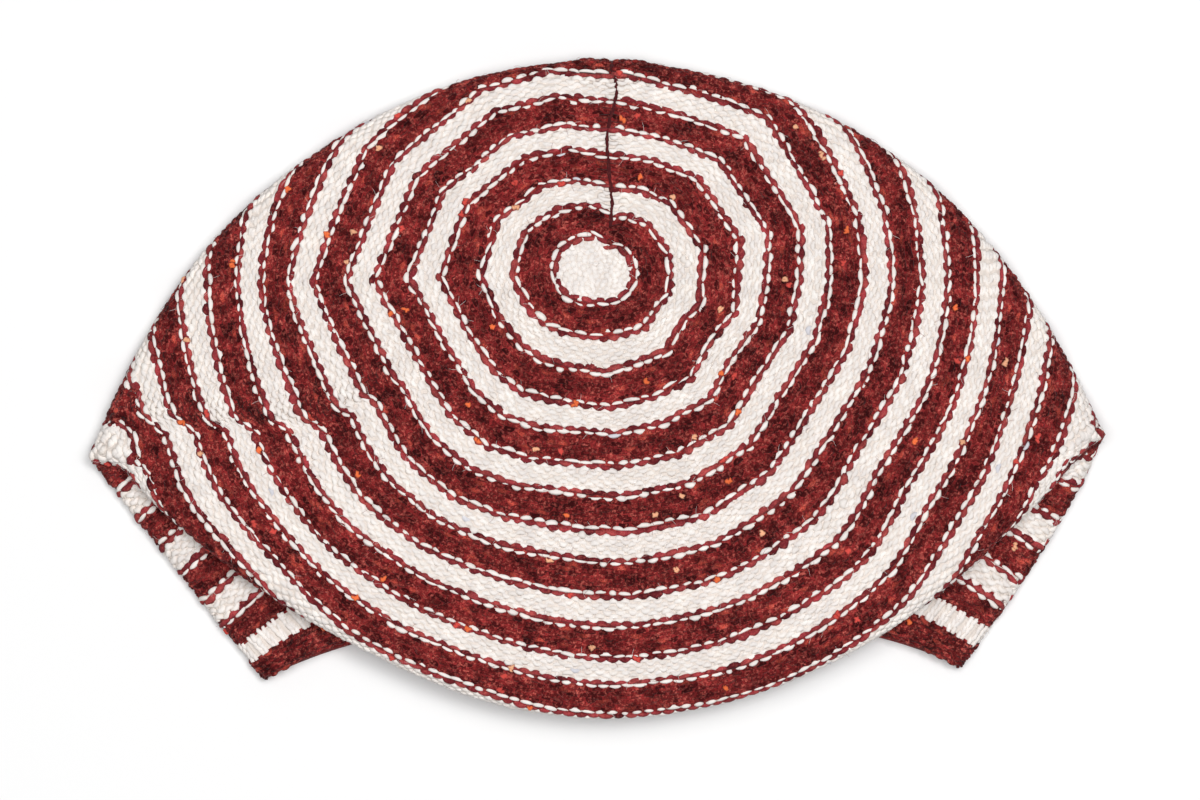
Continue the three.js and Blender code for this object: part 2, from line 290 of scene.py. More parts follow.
# The rings aren't round. For each angle from the front: the reach of a ring in plan there, as a
# share of its length of cloth, at each of these lengths
REACH_LENGTHS = np.array([12.0, 35.0, 60.0, 90.0, 120.0, 150.0, 180.0])
REACHES = np.array([
    (6, 0.86, 0.976, 0.966, 1.007, 1.017, 0.997, 0.978),
    (24, 0.93, 0.962, 0.990, 1.022, 1.025, 1.019, 1.013),
    (41, 1.00, 1.020, 1.007, 1.010, 1.031, 1.016, 1.002),
    (57, 1.02, 0.944, 0.954, 0.976, 0.986, 0.990, 0.960),
    (73, 1.04, 1.042, 0.997, 1.002, 1.001, 0.977, 0.987),
    (88, 1.02, 1.002, 1.007, 1.026, 1.002, 0.980, 0.956),
    (102, 1.00, 1.040, 1.045, 1.021, 0.998, 0.993, 0.988),
    (132, 0.95, 0.970, 0.987, 1.020, 1.020, 1.020, 1.020),
    (150, 0.87, 0.889, 0.879, 0.893, 0.893, 0.893, 0.893),
    (168, 0.74, 0.820, 0.859, 0.880, 0.880, 0.880, 0.880),
    (168, 0.86, 0.834, 0.855, 0.856, 0.856, 0.856, 0.856),
    (190, 0.97, 0.902, 0.897, 0.910, 0.910, 0.910, 0.910),
    (212, 1.08, 0.973, 0.952, 0.935, 0.930, 0.930, 0.930),
    (242, 1.21, 1.073, 1.021, 1.004, 1.015, 1.020, 1.020),
    (272, 1.20, 1.117, 1.117, 1.079, 1.023, 1.023, 1.000),
    (296, 1.13, 1.039, 0.989, 1.013, 1.025, 1.009, 1.020),
    (314, 1.03, 1.017, 1.015, 1.028, 1.022, 0.978, 0.950),
    (327, 0.95, 1.002, 1.027, 1.025, 1.004, 0.981, 0.959),
    (340, 0.89, 0.965, 0.987, 1.002, 0.998, 0.973, 0.949),
    (366, 0.86, 0.976, 0.966, 1.007, 1.017, 0.997, 0.978),
])
GORE_CORNERS = (6.0, 41.0, 73.0, 102.0, 132.0, 212.0, 242.0, 272.0, 314.0)
SEAM_ANGLE = 168.0
SEAM_GORES = (132.0, 212.0)  # the gores on both sides of the seam end here
SEAM_PLAN = (  # the seam's plan, from its lower end: Y and X
    (45.8, 55.2, 61.7, 72.6, 82.4, 87.9, 93.0, 97.5, 102.0, 106.4, 110.0),
    (3.1, 4.7, 5.3, 4.2, 3.3, 3.8, 5.4, 6.5, 6.4, 5.0, 4.9),
)
CREASE_DROP = 50.9  # the left crease's line, this far in front of the crown's centre
CREASE_SHIFT = 0.034  # rows in front of it are drawn in by this share
CREASE_TURN = 1.8  # within these degrees
CREASE_FADE = 15.0  # and come out again over these
CREASE_RADII = (62, 98, 168, 178)
CREASE_BEND = 29.0  # nearer the centre it keeps this angle in front of the left
CREASE_PLAN = ((-170.0, -92.0, -57.0), (-12.2, -12.2, 6.0))  # its plan: X and Y

# The two ears: rows there are straight, and lean in from the outer fold. Distance down the fold
# from the corner at the start of each stripe and at the hem, and the rows' lean along the fold
EAR_STRIPES = {
    "left": (0, 13.9, 25.9, 37.2, 49.4, 61.2, 72.2, 80.4, 87.6, 93.4),
    "right": (0, 8.5, 21, 33.6, 46.2, 58.4, 70.3, 77.3, 86, 93),
}
EAR_LEAN = {
    "left": ((0, 10, 60, 72, 80, 88, 93.4), (4, 32, 35, 34, 31, 26, 19)),
    "right": ((0, 9, 21, 46, 70, 78, 86, 93), (12, 16, 25, 31, 29, 26, 22, 17)),
}
EAR_SECTIONS = {"left": (25, 26, 31, 32.5), "right": (5.5, 7, 12, 13)}
# From this section to the next, the start of an ear's rows passes between the two stations below
EAR_CHANGE = {"left": 27, "right": 10}
TUCK_STATION = 10.5  # an ear's rows begin behind the tuck, and at its corner behind the turn
TURN_STATION = 6.5
CORNER_PULL = 0.4  # the last ivory stripe is drawn out over the left corner
CORNER_SECTIONS = (22.8, 24.2, 26, 27)
CREASE_PULL = 0.9  # and over the turn at both corners


def seam_angle(radius):
    beyond = np.maximum(radius, 6.0)
    across = np.interp(beyond + CROWN_CENTRE[1], *SEAM_PLAN)
    return 180 - np.degrees(np.arctan2(across, beyond))


def reach(angle, length, radius):
    """How far out a ring lies in plan at an angle, as a share of its length of cloth."""
    angles, shares = REACHES[:, 0], REACHES[:, 1:]
    turn = (angle - angles[0]) % 360 + angles[0]
    seam = seam_angle(radius)
    before, after = SEAM_GORES
    right = before + (turn - before) * (SEAM_ANGLE - before) / (seam - before)
    left = SEAM_ANGLE + (turn - seam) * (after - SEAM_ANGLE) / (after - seam)
    inside = (turn > before) & (turn < after)
    bent = np.where(inside & (turn < seam), np.minimum(right, SEAM_ANGLE - 1e-6), turn)
    bent = np.where(inside & (turn >= seam), np.maximum(left, SEAM_ANGLE + 1e-6), bent)
    i = np.clip(np.searchsorted(angles, bent, side="right") - 1, 0, len(angles) - 2)
    k = np.clip(np.searchsorted(REACH_LENGTHS, length, side="right") - 1, 0, len(REACH_LENGTHS) - 2)
    part = np.clip((length - REACH_LENGTHS[k]) / (REACH_LENGTHS[k + 1] - REACH_LENGTHS[k]), 0, 1)
    low = lerp(shares[i, k], shares[i, k + 1], part)
    high = lerp(shares[i + 1, k], shares[i + 1, k + 1], part)
    span = np.maximum(angles[i + 1] - angles[i], 1e-6)
    share = np.clip((bent - angles[i]) / span, 0, 1)
    curve = lerp(low, high, (1 - np.cos(np.pi * share)) / 2)
    ahead = np.radians(share * span)
    behind = np.radians((1 - share) * span)
    chord = low * high * np.sin(np.radians(span)) / (low * np.sin(ahead) + high * np.sin(behind))
    found = lerp(curve, chord, plateau(length, *STRAIGHT_RINGS))
    crease = np.degrees(np.arcsin(np.clip(CREASE_DROP / np.maximum(radius, 1), 0, 1)))
    crease = 270 + np.minimum(crease, CREASE_BEND)
    past = turn - crease
    jog = smooth(past, -CREASE_TURN, CREASE_TURN) * np.exp(-np.maximum(past, 0) / CREASE_FADE)
    jog = jog * plateau(radius, *CREASE_RADII)
    return found * (1 - CREASE_SHIFT * jog)


def cloth_length(angle, radius):
    length = radius.copy()
    for _ in range(14):
        length = radius / reach(angle, length, radius)
    return length


def ear_length(plan, side):
    """Length of cloth at a place on an ear, from the straight row that passes through it."""
    inward = 1 if side == "left" else -1
    edge = unit(HEM_END[side] - CORNER[side])
    out = plan - CORNER[side]
    drop = np.zeros(len(plan))
    for _ in range(20):
        lean = np.radians(np.interp(drop, *EAR_LEAN[side]))
        across, up = inward * np.cos(lean), np.sin(lean)
        found = (out[:, 0] * up - out[:, 1] * across) / (edge[0] * up - edge[1] * across)
        drop = (drop + found) / 2
    stops = np.array(EAR_STRIPES[side], float)
    lengths = CLOTH_LENGTH - STRIPE * np.arange(len(stops) - 1, -1, -1)
    beyond = drop - np.clip(drop, stops[0], stops[-1])
    return np.interp(drop, stops, lengths) + beyond


def ear_share(u):
    """The ear that a section belongs to, how fully, and the station where the ear's rows begin."""
    turn = u if u > SECTIONS / 2 else u + SECTIONS
    left = plateau(turn, *EAR_SECTIONS["left"])
    right = plateau(u, *EAR_SECTIONS["right"])
    if left > right:
        return "left", left, lerp(TURN_STATION, TUCK_STATION, np.clip(turn - EAR_CHANGE["left"], 0, 1))
    return "right", right, lerp(TUCK_STATION, TURN_STATION, np.clip(u - EAR_CHANGE["right"], 0, 1))


def plan_angle(points):
    return np.degrees(np.arctan2(points[..., 0] - CROWN_CENTRE[0], CROWN_CENTRE[1] - points[..., 1]))


def spline_matrix(places, count, closed):
    """Weights of every control point at each place."""
    k = np.floor(places).astype(int) if closed else np.minimum(np.floor(places).astype(int), count - 4)
    weights = spline_weights(places - k)
    matrix = np.zeros((len(places), count))
    for n in range(4):
        column = (k + n - 1) % count if closed else k + n
        np.add.at(matrix, (np.arange(len(places)), column), weights[:, n])
    return matrix


def cloth_chart():
    """Length of cloth from the crown's centre, at each fine section and station."""
    round_weights = spline_matrix(FINE_U, SECTIONS, True)
    along_weights = spline_matrix(FINE_V, STATIONS + 2, False)
    points = np.einsum("ui,ikc,vk->uvc", round_weights, NET, along_weights, optimize=True)
    out = np.hypot(points[..., 0] - CROWN_CENTRE[0], points[..., 1] - CROWN_CENTRE[1])
    rim = (FINE_V >= 3) & (FINE_V <= 8)
    edge = np.argmax(np.where(rim, out, 0), axis=1)
    farthest = out[np.arange(len(edge)), edge]
    steps = np.linalg.norm(np.diff(points, axis=1), axis=2)
    arc = np.concatenate([np.zeros((len(edge), 1)), np.cumsum(steps, axis=1)], axis=1)
    chart = np.zeros_like(out)
    angles = plan_angle(points)
    for n in range(len(edge)):
        bend = int(np.argmax(out[n] >= farthest[n] - FOLD_RUN))
        flat = cloth_length(angles[n, :bend + 1], np.maximum(out[n, :bend + 1], 1e-3))
        chart[n, :bend + 1] = flat
        rest = (arc[n, bend:] - arc[n, bend]) / (arc[n, -1] - arc[n, bend])
        pulled = plateau(FINE_U[n], *CORNER_SECTIONS)
        chart[n, bend:] = lerp(flat[-1], CLOTH_LENGTH, rest ** (1 + CORNER_PULL * pulled))
        side, share, start = ear_share(FINE_U[n])
        if share > 0:
            tuck = int(start * ALONG_FINE)
            rows = ear_length(points[n, tuck:, :2], side)
            first = max(rows[0], flat[-1] + 2)
            ear = np.empty(len(FINE_V) - bend)
            rest = (arc[n, bend:tuck] - arc[n, bend]) / (arc[n, tuck] - arc[n, bend])
            pulled = smooth(TUCK_STATION - start, 2, 4)
            ear[:tuck - bend] = lerp(flat[-1], first, rest ** (1 + CREASE_PULL * pulled))
            ear[tuck - bend:] = lerp(first, CLOTH_LENGTH, (rows - rows[0]) / (rows[-1] - rows[0]))
            chart[n, bend:] = lerp(chart[n, bend:], ear, share)
    return np.maximum.accumulate(chart, axis=1) + 1e-6 * FINE_V


CHART = cloth_chart()


def stripe_ends():
    """Length of cloth where each stripe ends, from the centre."""
    ends = np.arange(STRIPES + 1)
    lengths = np.interp(ends, [0, 1, 1 + WIDE_STRIPES, STRIPES],
                        [0, FIRST_STRIPE, FIRST_STRIPE + WIDE_STRIPES * WIDE_STRIPE, CLOTH_LENGTH])
    spread = np.where(ends % 2 == 1, -BURGUNDY_SPREAD, BURGUNDY_SPREAD)
    return lengths + np.where((ends > 1) & (ends < RIB_STRIPE), spread, 0)


STRIPE_ENDS = stripe_ends()


def row_length(row):
    return np.interp(np.asarray(row) / ROWS_IN_STRIPE, np.arange(STRIPES + 1), STRIPE_ENDS)


def length_row(length):
    return np.interp(length, STRIPE_ENDS, np.arange(STRIPES + 1)) * ROWS_IN_STRIPE


def stations_at(length):
    """Station of one length of cloth on every fine section."""
    k = np.clip((CHART < length).sum(axis=1) - 1, 0, len(FINE_V) - 2)
    n = np.arange(len(k))
    low, high = CHART[n, k], CHART[n, k + 1]
    share = np.clip((length - low) / np.maximum(high - low, 1e-9), 0, 1)
    return lerp(FINE_V[k], FINE_V[k + 1], share)


def is_burgundy(row):
    return (int(row) // ROWS_IN_STRIPE) % 2 == 1


LAST_PLAN_RING = 138.0
LAST_SEAM_ROW = 44
FIRST_RING_GAP = (166.0, 14.0)  # angle and half its width
SEAM_REACH = 0.86  # reach of a ring at the seam, as a share of its length of cloth
PURL_LINES = ((-1.0, -0.25), (1.0, 0.25))  # the way a line's bumps point, and its place in the row
FILLED_STRIPE = 12  # from here on, stretched rows are filled up
RIB_ARM = 0.17  # a rib stitch's arms lie this far from its middle, and lean by these degrees
RIB_LEAN = 10.0
CENTRE_STITCHES = 140
CENTRE_SHARE = 0.93  # share of the ivory disc's radius that they fill
CENTRE_TURN = 38.0
GOLDEN_TURN = 0.381966  # share of a turn between one and the next


def gore_places(angles, radius):
    """Sections where the gores meet on a ring, from the seam once round and back to it."""
    turns = np.degrees(np.unwrap(np.radians(angles)))
    seam = float(seam_angle(np.array(radius)))
    first = float(np.interp((seam - turns[0]) % 360 + turns[0], turns, FINE_U))
    corners = [(a - turns[0]) % 360 + turns[0] for a in GORE_CORNERS]
    places = np.interp(corners, turns, FINE_U)
    places = np.sort((places - first) % SECTIONS) + first
    return np.concatenate([[first], places, [first + SECTIONS]])


class Lines:
    """Stitches gathered line by line: section, station, width, heading and kind."""

    def __init__(self):
        self.parts = []

    def add(self, u, v, width, tangent, **kinds):
        count = len(u)
        entry = {"u": u, "v": v, "width": np.full(count, width), "tangent": tangent}
        entry.update({name: np.full(count, value) for name, value in kinds.items()})
        self.parts.append(entry)

    def joined(self):
        names = self.parts[0].keys()
        return {name: np.concatenate([part[name] for part in self.parts]) for name in names}


class Ring:
    """One line of stitches round the beret: its stations, its length so far and its heading."""

    def __init__(self, row):
        self.stations = stations_at(row_length(row))
        points, _ = cloth(FINE_U, self.stations)
        ahead = np.roll(points, -1, axis=0) - points
        steps = np.linalg.norm(ahead, axis=1)
        self.heading = unit(ahead + np.roll(ahead, 1, axis=0))
        arc = np.concatenate([[0], np.cumsum(np.minimum(steps, 4 * np.median(steps)))])
        self.size = arc[-1]
        self.angles = plan_angle(points)
        self.arcs = np.concatenate([arc[:-1], arc[:-1] + arc[-1], [2 * arc[-1]]])
        self.places = np.concatenate([FINE_U, FINE_U + SECTIONS, [2 * SECTIONS]])

    def arc_at(self, place):
        return np.interp(place, self.places, self.arcs)

    def angle_at(self, u):
        return np.interp(u, FINE_U, self.angles) % 360

    def stitches(self, arcs):
        """Section, station and heading at lengths along the ring."""
        u = np.interp(arcs, self.arcs, self.places) % SECTIONS
        index = np.minimum((u * ROUND_FINE).astype(int), len(FINE_U) - 1)
        v = np.interp(u, np.append(FINE_U, SECTIONS), np.append(self.stations, self.stations[0]))
        return u, v, self.heading[index]


PLAIN, CHANGE, RIB, HEM, CENTRE = range(5)  # kinds of stitch


def knit_lines():
    """The purl side's two lines of bumps at every row, and the path of the seam across them."""
    lines = Lines()
    seam = []
    places = None
    rib = RIB_STRIPE * ROWS_IN_STRIPE
    for row in range(ROWS_IN_STRIPE, ROWS + 1):
        length = row_length(row)
        for apex, shift in PURL_LINES:
            place_row = min(row + shift, ROWS)
            if rib < place_row < rib + ROWS_IN_STRIPE:
                continue
            own_row = row if apex < 0 else row - 1
            kind = CHANGE if row % ROWS_IN_STRIPE == 0 else PLAIN
            if row in (rib, rib + ROWS_IN_STRIPE):
                own_row, kind = int(place_row), PLAIN
            if row >= rib + ROWS_IN_STRIPE:
                own_row, kind = rib + ROWS_IN_STRIPE, HEM
            ring = Ring(place_row)
            if length < LAST_PLAN_RING or places is None:
                places = gore_places(ring.angles, SEAM_REACH * length)
            if row <= LAST_SEAM_ROW:
                seam.append(ring.stitches(ring.arc_at(places[:1]))[:2])
            ends = ring.arc_at(places)
            if length <= FIRST_STRIPE:
                ends = ends[[0, -1]]
            for n, (a, b) in enumerate(zip(ends[:-1], ends[1:])):
                count = max(2, 2 * round((b - a) / (2 * STITCH_WIDTH)))
                steps = np.arange(count) + (0.5 if apex < 0 else 0.0)
                if n == 0 and apex > 0:
                    steps = steps[1:]
                u, v, heading = ring.stitches(a + (b - a) * steps / count)
                red = np.full(len(u), is_burgundy(own_row))
                if row == ROWS_IN_STRIPE:
                    red |= np.abs(ring.angle_at(u) - FIRST_RING_GAP[0]) < FIRST_RING_GAP[1]
                lines.add(u, v, (b - a) / count, heading, burgundy=red, apex=apex,
                          row=place_row, turn=0.0, kind=kind)
    return lines, np.array(seam)[:, :, 0]


def filling_lines(lines):
    """Cloth pulled over the corners shows more of each row: more stitches between the lines."""
    for row in range(ROWS_IN_STRIPE * FILLED_STRIPE, RIB_STRIPE * ROWS_IN_STRIPE):
        for shift in (0.0, 0.5):
            ring = Ring(row + shift)
            count = round(ring.size / STITCH_WIDTH)
            u, v, heading = ring.stitches(ring.size * (np.arange(count) + 0.5 * shift) / count)
            loose = cloth_stretch(u, v) > FULLEST
            own_row = row - 1 if shift == 0 and not is_burgundy(row) else row
            lines.add(u[loose], v[loose], ring.size / count, heading[loose], burgundy=is_burgundy(own_row),
                      apex=1.0 - 4 * shift, row=row + shift, turn=0.0, kind=PLAIN)


def rib_lines(lines):
    """Knit columns of the band: two leaning arms to a stitch."""
    first = RIB_STRIPE * ROWS_IN_STRIPE
    for row in range(first, first + ROWS_IN_STRIPE):
        ring = Ring(row + 0.5)
        count = 2 * round(ring.size / (2 * STITCH_WIDTH))
        for arm in (-1, 1):
            steps = np.arange(count) + 0.5 + RIB_ARM * arm
            u, v, heading = ring.stitches(ring.size * steps / count)
            lines.add(u, v, ring.size / count, heading, burgundy=is_burgundy(row), apex=0.0,
                      row=row + 0.5, turn=90.0 + RIB_LEAN * arm, kind=RIB)


def centre_lines(lines):
    """The gathered middle: stitches in no clear rows."""
    for n in range(CENTRE_STITCHES):
        row = ROWS_IN_STRIPE * CENTRE_SHARE * math.sqrt((n + 0.5) / CENTRE_STITCHES)
        ring = Ring(row)
        u, v, heading = ring.stitches(np.array([ring.size * ((n * GOLDEN_TURN) % 1)]))
        lines.add(u, v, STITCH_WIDTH, heading, burgundy=False, apex=1.0 if n % 2 else -1.0, row=row,
                  turn=RANDOM.normal(0, CENTRE_TURN), kind=CENTRE)


# Wool materials

def new_group(name, inputs, outputs):
    group = bpy.data.node_groups.new(name, "ShaderNodeTree")
    for kind, label, value in inputs:
        socket = group.interface.new_socket(label, in_out="INPUT", socket_type=kind)
        socket.default_value = value
    for kind, label in outputs:
        group.interface.new_socket(label, in_out="OUTPUT", socket_type=kind)
    return group, group.nodes.new("NodeGroupInput"), group.nodes.new("NodeGroupOutput")


def feed(tree, node, values):
    """Each input named gets a link from another node's output, or a plain value."""
    for name, value in values.items():
        if isinstance(value, bpy.types.NodeSocket):
            tree.links.new(value, node.inputs[name])
        else:
            node.inputs[name].default_value = value


def calculate(tree, operation, *values):
    step = tree.nodes.new("ShaderNodeMath")
    step.operation = operation
    feed(tree, step, dict(enumerate(values)))
    return step.outputs[0]


def mix_colours(tree, factor, a, b, blend="MIX"):
    mix = tree.nodes.new("ShaderNodeMix")
    mix.data_type = "RGBA"
    mix.blend_type = blend
    feed(tree, mix, {"Factor": factor, 6: a, 7: b})
    return mix.outputs[2]


def noise(tree, vector, scale, detail, roughness):
    texture = tree.nodes.new("ShaderNodeTexNoise")
    feed(tree, texture, {"Vector": vector, "Scale": scale, "Detail": detail, "Roughness": roughness})
    return texture.outputs["Fac"]


def ramp(tree, factor, stops):
    node = tree.nodes.new("ShaderNodeValToRGB")
    for element, (place, colour) in zip(node.color_ramp.elements, stops):
        element.position = place
        element.color = (*colour, 1)
    feed(tree, node, {"Fac": factor})
    return node.outputs["Color"]


FIBRE_SCALE = 2300.0
MOTTLE_SCALE = 900.0
PATCH_SCALE = 200.0
CHANGE_OVERLAP = 0.045  # how far burgundy runs on under a change of yarn, in pairs of stripes


def tweed_group():
    """Loose fibres of many shades: mottles a yarn's own colour and raises a fine nap."""
    group, start, end = new_group(
        "tweed_fibres",
        [("NodeSocketColor", "Yarn", (0.2, 0.03, 0.04, 1)),
         ("NodeSocketColor", "Dark fibre", (0.03, 0.008, 0.01, 1)),
         ("NodeSocketColor", "Bright fibre", (0.35, 0.06, 0.04, 1)),
         ("NodeSocketFloat", "Mottle", 0.6)],
        [("NodeSocketColor", "Colour"), ("NodeSocketFloat", "Nap")],
    )
    place = group.nodes.new("ShaderNodeTexCoord").outputs["Object"]
    fine = noise(group, place, FIBRE_SCALE, 3.0, 0.7)
    broad = noise(group, place, MOTTLE_SCALE, 2.0, 0.6)
    patch = noise(group, place, PATCH_SCALE, 2.0, 0.5)
    dark = ramp(group, fine, [(0.40, (0.8, 0.8, 0.8)), (0.55, (0, 0, 0))])
    bright = ramp(group, broad, [(0.52, (0, 0, 0)), (0.63, (0.7, 0.7, 0.7))])
    colour = start.outputs["Yarn"]
    for spots, fibre in ((bright, "Bright fibre"), (dark, "Dark fibre")):
        share = calculate(group, "MULTIPLY", spots, start.outputs["Mottle"])
        colour = mix_colours(group, share, colour, start.outputs[fibre])
    shade = ramp(group, patch, [(0.36, (0.46, 0.43, 0.46)), (0.64, (1.46, 1.46, 1.42))])
    colour = mix_colours(group, start.outputs["Mottle"], colour, shade, blend="MULTIPLY")
    feed(group, end, {"Colour": colour, "Nap": fine})
    return group


def stripe_group():
    """Which yarn a row of the cloth is knitted from, read from the rows in its UV map."""
    # The cloth under the stitches shows in the gaps between them, so its colours carry painted shade and
    # light there: its ivory is darker than the ivory yarn, painted shade, and its burgundy lighter than the
    # burgundy yarn, painted light.
    group, start, end = new_group(
        "stripe_rows",
        [("NodeSocketColor", "Ivory", (0.67, 0.6, 0.55, 1)),
         ("NodeSocketColor", "Burgundy", (0.22, 0.02, 0.021, 1)),
         ("NodeSocketFloat", "Odd fibres", 0.65)],
        [("NodeSocketColor", "Colour"), ("NodeSocketFloat", "Mottle"), ("NodeSocketFloat", "Stitch")],
    )
    place = group.nodes.new("ShaderNodeUVMap")
    place.uv_map = "knit"
    split = group.nodes.new("ShaderNodeSeparateXYZ")
    feed(group, split, {"Vector": place.outputs["UV"]})
    pair = calculate(group, "SUBTRACT", split.outputs["Y"], 0.25)
    part = calculate(group, "FRACT", pair)
    off = calculate(group, "SUBTRACT", part, 0.5)
    away = calculate(group, "ABSOLUTE", off)
    burgundy = calculate(group, "LESS_THAN", away, 0.25 + CHANGE_OVERLAP)
    colour = mix_colours(group, burgundy, start.outputs["Ivory"], start.outputs["Burgundy"])
    mottle = calculate(group, "MULTIPLY", burgundy, start.outputs["Odd fibres"])
    waves = []
    for source, turns in (("X", 1), ("Y", PAIR_ROWS)):
        angle = calculate(group, "MULTIPLY", split.outputs[source], 2 * math.pi * turns)
        waves.append(calculate(group, "COSINE", angle))
    height = calculate(group, "ADD", *waves)
    feed(group, end, {"Colour": colour, "Mottle": mottle, "Stitch": height})
    return group


STITCH_BUMP = (0.3, 0.5)  # strength, and depth in millimetres
NAP_BUMP = (0.5, 0.25)


def wool_material(name, source, fibres, dark, bright, sheen):
    """source(nodes) gives the yarn's colour, its share of odd fibres and its stitches' height."""
    material = bpy.data.materials.new(name)
    material.use_nodes = True
    tree = material.node_tree
    colour, share, stitch = source(tree.nodes)
    tweed = tree.nodes.new("ShaderNodeGroup")
    tweed.node_tree = fibres
    feed(tree, tweed, {
        "Yarn": colour, "Dark fibre": (*dark, 1), "Bright fibre": (*bright, 1), "Mottle": share,
    })
    shader = tree.nodes["Principled BSDF"]
    feed(tree, shader, {
        "Base Color": tweed.outputs["Colour"], "Roughness": 0.92, "Specular IOR Level": 0.06,
        "Sheen Weight": sheen, "Sheen Roughness": 0.45,
    })
    into = shader
    for height, strength, depth in ((stitch, *STITCH_BUMP), (tweed.outputs["Nap"], *NAP_BUMP)):
        if height is not None:
            bump = tree.nodes.new("ShaderNodeBump")
            feed(tree, bump, {"Strength": strength, "Distance": depth * MM, "Height": height})
            feed(tree, into, {"Normal": bump.outputs["Normal"]})
            into = bump
    return material


def yarn_attribute(nodes):
    attribute = nodes.new("ShaderNodeAttribute")
    attribute.attribute_name = "yarn"
    return attribute.outputs["Color"], attribute.outputs["Alpha"], None


def striped_cloth(stripes):
    def source(nodes):
        rows = nodes.new("ShaderNodeGroup")
        rows.node_tree = stripes
        return rows.outputs["Colour"], rows.outputs["Mottle"], rows.outputs["Stitch"]
    return source


def make_materials():
    fibres = tweed_group()
    stripes = stripe_group()
    dark_red = (0.028, 0.003, 0.004)
    brick = (0.49, 0.112, 0.088)
    grey = (0.66, 0.58, 0.52)
    white = (0.93, 0.88, 0.85)
    return {
        "cloth": wool_material("striped_knit", striped_cloth(stripes), fibres, dark_red, brick, 0.06),
        "burgundy": wool_material("burgundy_tweed", yarn_attribute, fibres, dark_red, brick, 0.06),
        "ivory": wool_material("ivory_wool", yarn_attribute, fibres, grey, white, 0.1),
    }


# Pieces

SET_BACK = 0.55  # the cloth under the stitches lies this far inside the wall's outer face
CENTRE_SET_BACK = 0.5
CENTRE_EDGE = (9, 13)  # lengths of cloth between which one passes to the other
WALL_ROUND = 6  # wall samples in a section and between stations
WALL_ALONG = 8
WALL_GIRTH = 700.0  # length of a middle row, which sets the stitches round the wall
EASE_TURNS = 80
EASE_SPREAD = 0.35  # at each turn a tight place moves this far to its neighbours' mean
EASE_PRESS = 0.06  # and this far into the wall
LEAST_STEP = 0.15


def ease(face, core):
    """Inside a tight bend the wall's face is pressed back until it no longer crosses itself."""
    for _ in range(EASE_TURNS):
        round_core = np.roll(core, -1, 1) - core
        round_face = np.roll(face, -1, 1) - face
        crossed = (round_core * round_face).sum(-1) < LEAST_STEP * (round_core**2).sum(-1)
        tight = crossed | np.roll(crossed, 1, 1) | np.roll(crossed, -1, 1) | np.roll(crossed, 2, 1)
        along_core = np.diff(core, axis=0)
        along_face = np.diff(face, axis=0)
        crossed = (along_core * along_face).sum(-1) < LEAST_STEP * (along_core**2).sum(-1)
        tight[:-1] |= crossed
        tight[1:] |= crossed
        tight[:-2] |= crossed[1:]
        tight[2:] |= crossed[:-1]
        tight[0] = False
        tight[-1] = False
        if not tight.any():
            return face
        mean = (np.roll(face, 1, 1) + np.roll(face, -1, 1)) / 4
        mean[1:-1] += (face[:-2] + face[2:]) / 4
        moved = lerp(lerp(face, mean, EASE_SPREAD), core, EASE_PRESS)
        face = np.where(tight[..., None], moved, face)
    return face


def mesh_piece(name, points, faces, material, uv=None, yarn=None):
    """A smooth mesh from arrays of points in millimetres and of faces with equal corners."""
    mesh = bpy.data.meshes.new(name)
    corners = faces.shape[1]
    mesh.vertices.add(len(points))
    mesh.vertices.foreach_set("co", (points * MM).astype(np.float32).ravel())
    mesh.loops.add(faces.size)
    mesh.loops.foreach_set("vertex_index", faces.astype(np.int32).ravel())
    mesh.polygons.add(len(faces))
    mesh.polygons.foreach_set("loop_start", np.arange(len(faces), dtype=np.int32) * corners)
    mesh.polygons.foreach_set("use_smooth", np.ones(len(faces), bool))
    mesh.update(calc_edges=True)
    if uv is not None:
        mesh.uv_layers.new(name="knit").data.foreach_set("uv", uv.astype(np.float32).ravel())
    if yarn is not None:
        colour = mesh.attributes.new("yarn", "FLOAT_COLOR", "POINT")
        colour.data.foreach_set("color", yarn.astype(np.float32).ravel())
    mesh.materials.append(material)
    piece = bpy.data.objects.new(name, mesh)
    bpy.context.scene.collection.objects.link(piece)
    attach(piece, "root")
    return piece


def wall_piece(name, station_rows, material, closed_top, round_end):
    """A closed wall of cloth between the first and last row of stations."""
    u = np.arange(SECTIONS * WALL_ROUND) / WALL_ROUND
    count = len(u)
    core, out, length = [], [], []
    for row in station_rows:
        point, normal = cloth(u, row)
        core.append(point)
        out.append(normal)
        fine = np.array([np.interp(v, FINE_V, CHART[int(place * ROUND_FINE)])
                         for place, v in zip(u, row)])
        length.append(fine)
    core, out, length = np.array(core), np.array(out), np.array(length)
    back = lerp(CENTRE_SET_BACK, SET_BACK, smooth(length, *CENTRE_EDGE))
    outer = ease(core + out * (WALL / 2 - back)[..., None], core)
    inner = ease(core - out * (WALL / 2), core)
    rings = list(outer)
    lengths = list(length)
    if round_end:
        rings.append(core[-1] + unit(core[-1] - core[-2]))
        lengths.append(length[-1])
    rings += list(inner[::-1])
    lengths += list(length[::-1])
    rings = np.array(rings)
    rows = np.clip(length_row(np.array(lengths)), 1.0, ROWS - 0.1)
    total = len(rings)
    points = rings.reshape(-1, 3)
    here = np.arange(count)
    after = (here + 1) % count
    faces, uvs = [], []
    columns = np.arange(count + 1) * (2.0 * round(WALL_GIRTH / STITCH_WIDTH / 2) / count)
    spans = range(total - 1) if closed_top else range(total)
    for r in spans:
        n = (r + 1) % total
        faces.append(np.stack([r * count + here, n * count + here, n * count + after, r * count + after], 1))
        low, high = rows[r] / PAIR_ROWS, rows[n] / PAIR_ROWS
        uvs.append(np.stack([np.stack([columns[:-1], low], 1), np.stack([columns[:-1], high], 1),
                             np.stack([columns[1:], high[after]], 1),
                             np.stack([columns[1:], low[after]], 1)], 1))
    faces, uvs = np.concatenate(faces), np.concatenate(uvs)
    piece = mesh_piece(name, points, faces, material, uv=uvs.reshape(-1, 2))
    if closed_top:
        close_ends(piece)
    return piece


